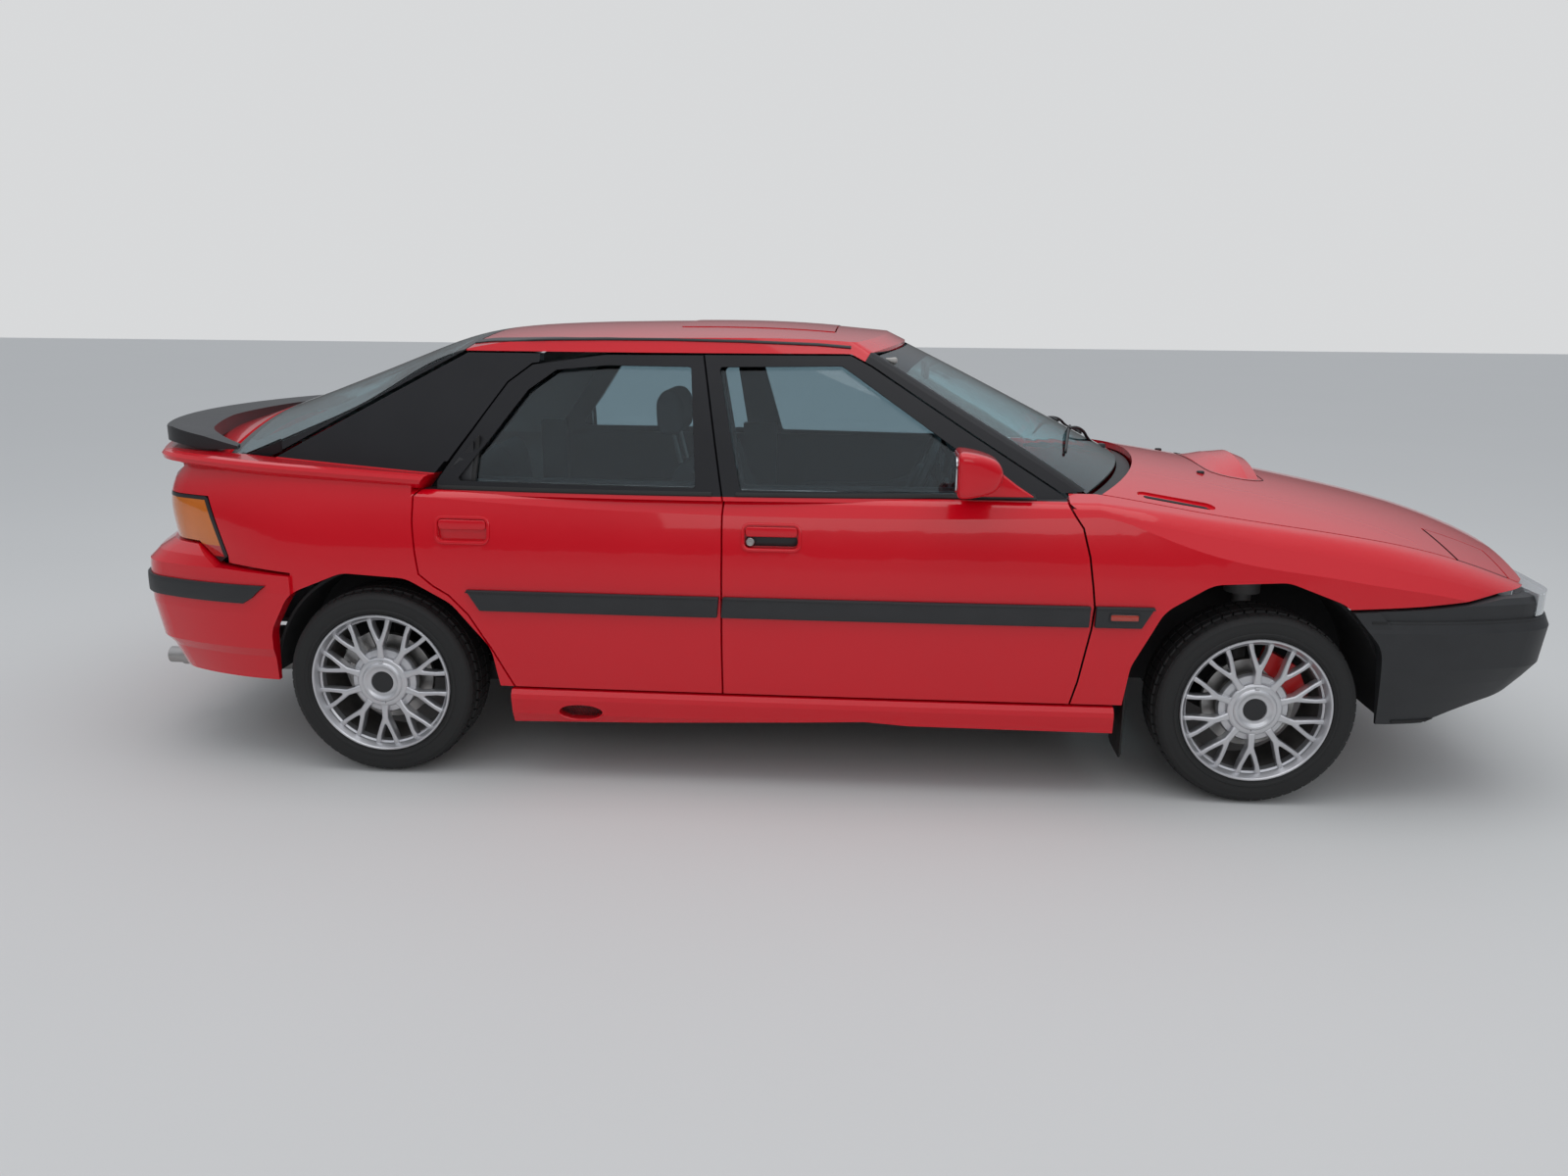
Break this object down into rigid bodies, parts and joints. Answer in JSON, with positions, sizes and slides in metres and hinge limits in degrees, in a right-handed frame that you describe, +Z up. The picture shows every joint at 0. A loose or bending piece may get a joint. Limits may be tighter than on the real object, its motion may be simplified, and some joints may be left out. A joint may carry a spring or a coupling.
{
  "type": "five-door fastback car",
  "caption": "Five-door fastback passenger car with pop-up lamps, a lipped tailgate with a rear spoiler, opening doors and lids, and steered road wheels.",
  "frame": {"origin": "on the ground under the middle of the whole outline", "axes": "+X to the nose, +Y to the left, +Z up"},
  "size_m": [4.2598, 1.972, 1.309],
  "materials": {
    "bare_steel": "worn steel",
    "black_trim": "satin",
    "cast_grey": "rough",
    "clear_glass": "clear, faint green",
    "dark_metal": "underbody coat",
    "grey_cloth": "woven",
    "grey_plastic": "grained",
    "lamp_plastic": "lamp lens",
    "red_paint": "gloss clear coat",
    "silver_metal": "silver paint",
    "tyre_rubber": "matt"
  },
  "bodies": {
    "car_body": {"body_frame": "dark_metal", "cowl": "black_trim", "dashboard": "grey_plastic", "engine_block": "cast_grey", "exhaust": "bare_steel", "front_bumper": "black_trim", "front_lamps": "lamp_plastic", "front_wings": "red_paint", "fuel_tank": "dark_metal", "rear_bumper": "red_paint", "rear_quarters": "red_paint", "roof": "red_paint", "seats": "grey_cloth", "side_skirts": "red_paint", "sunroof": "red_paint", "suspension": "dark_metal", "tail_lamps": "lamp_plastic", "windscreen": "clear_glass"},
    "bonnet": {"bonnet": "red_paint"},
    "tailgate": {"tailgate": "red_paint", "tailgate_glass": "clear_glass", "spoiler": "black_trim"},
    "right_popup": {"right_popup_lamp": "red_paint"},
    "left_popup": {"left_popup_lamp": "red_paint"},
    "right_front_door": {"right_front_door": "red_paint", "right_front_glass": "clear_glass", "right_mirror": "red_paint"},
    "left_front_door": {"left_front_door": "red_paint", "left_front_glass": "clear_glass", "left_mirror": "red_paint"},
    "right_rear_door": {"right_rear_door": "red_paint", "right_rear_glass": "clear_glass"},
    "left_rear_door": {"left_rear_door": "red_paint", "left_rear_glass": "clear_glass"},
    "front_right_wheel": {"front_right_tyre": "tyre_rubber", "front_right_wheel": "silver_metal"},
    "front_left_wheel": {"front_left_tyre": "tyre_rubber", "front_left_wheel": "silver_metal"},
    "rear_right_wheel": {"rear_right_tyre": "tyre_rubber", "rear_right_wheel": "silver_metal"},
    "rear_left_wheel": {"rear_left_tyre": "tyre_rubber", "rear_left_wheel": "silver_metal"},
    "right_knuckle": {"front_right_knuckle": "cast_grey"},
    "left_knuckle": {"front_left_knuckle": "cast_grey"},
    "steering_wheel": {"steering_wheel": "grey_plastic"}
  },
  "joints": [
    {"name": "right_front_door_hinge", "type": "hinge", "parent": "car_body", "child": "right_front_door", "pos_m": [0.752, -0.822, 0.5], "axis": [0, 0, 1], "range_deg": [0, 65]},
    {"name": "left_front_door_hinge", "type": "hinge", "parent": "car_body", "child": "left_front_door", "pos_m": [0.752, 0.822, 0.5], "axis": [0, 0, -1], "range_deg": [0, 65]},
    {"name": "right_rear_door_hinge", "type": "hinge", "parent": "car_body", "child": "right_rear_door", "pos_m": [-0.268, -0.824, 0.5], "axis": [0, 0, 1], "range_deg": [0, 65]},
    {"name": "left_rear_door_hinge", "type": "hinge", "parent": "car_body", "child": "left_rear_door", "pos_m": [-0.268, 0.824, 0.5], "axis": [0, 0, -1], "range_deg": [0, 65]},
    {"name": "bonnet_hinge", "type": "hinge", "parent": "car_body", "child": "bonnet", "pos_m": [0.812, 0, 0.826], "axis": [0, -1, 0], "range_deg": [0, 50]},
    {"name": "tailgate_hinge", "type": "hinge", "parent": "car_body", "child": "tailgate", "pos_m": [-1.004, 0, 1.286], "axis": [0, 1, 0], "range_deg": [0, 70]},
    {"name": "right_popup_hinge", "type": "hinge", "parent": "car_body", "child": "right_popup", "pos_m": [1.815, 0, 0.724], "axis": [0, -1, 0], "range_deg": [0, 40]},
    {"name": "left_popup_hinge", "type": "hinge", "parent": "car_body", "child": "left_popup", "pos_m": [1.815, 0, 0.724], "axis": [0, -1, 0], "range_deg": [0, 40]},
    {"name": "right_steer", "type": "hinge", "parent": "car_body", "child": "right_knuckle", "pos_m": [1.26, -0.628, 0.279], "axis": [0, 0, 1], "range_deg": [-33, 33]},
    {"name": "left_steer", "type": "hinge", "parent": "car_body", "child": "left_knuckle", "pos_m": [1.26, 0.628, 0.279], "axis": [0, 0, 1], "range_deg": [-33, 33]},
    {"name": "front_right_spin", "type": "hinge", "parent": "right_knuckle", "child": "front_right_wheel", "pos_m": [1.26, -0.716, 0.279], "axis": [0, 1, 0], "continuous": true},
    {"name": "front_left_spin", "type": "hinge", "parent": "left_knuckle", "child": "front_left_wheel", "pos_m": [1.26, 0.716, 0.279], "axis": [0, 1, 0], "continuous": true},
    {"name": "rear_right_spin", "type": "hinge", "parent": "car_body", "child": "rear_right_wheel", "pos_m": [-1.24, -0.716, 0.279], "axis": [0, 1, 0], "continuous": true},
    {"name": "rear_left_spin", "type": "hinge", "parent": "car_body", "child": "rear_left_wheel", "pos_m": [-1.24, 0.716, 0.279], "axis": [0, 1, 0], "continuous": true},
    {"name": "steering_wheel_turn", "type": "hinge", "parent": "car_body", "child": "steering_wheel", "pos_m": [0.345, 0.37, 0.735], "axis": [-0.9063, 0, 0.4226], "range_deg": [-500, 500]}
  ],
  "couplings": [
    {"joint": "left_steer", "follows": "right_steer", "ratio": 1},
    {"joint": "steering_wheel_turn", "follows": "right_steer", "ratio": 15}
  ]
}
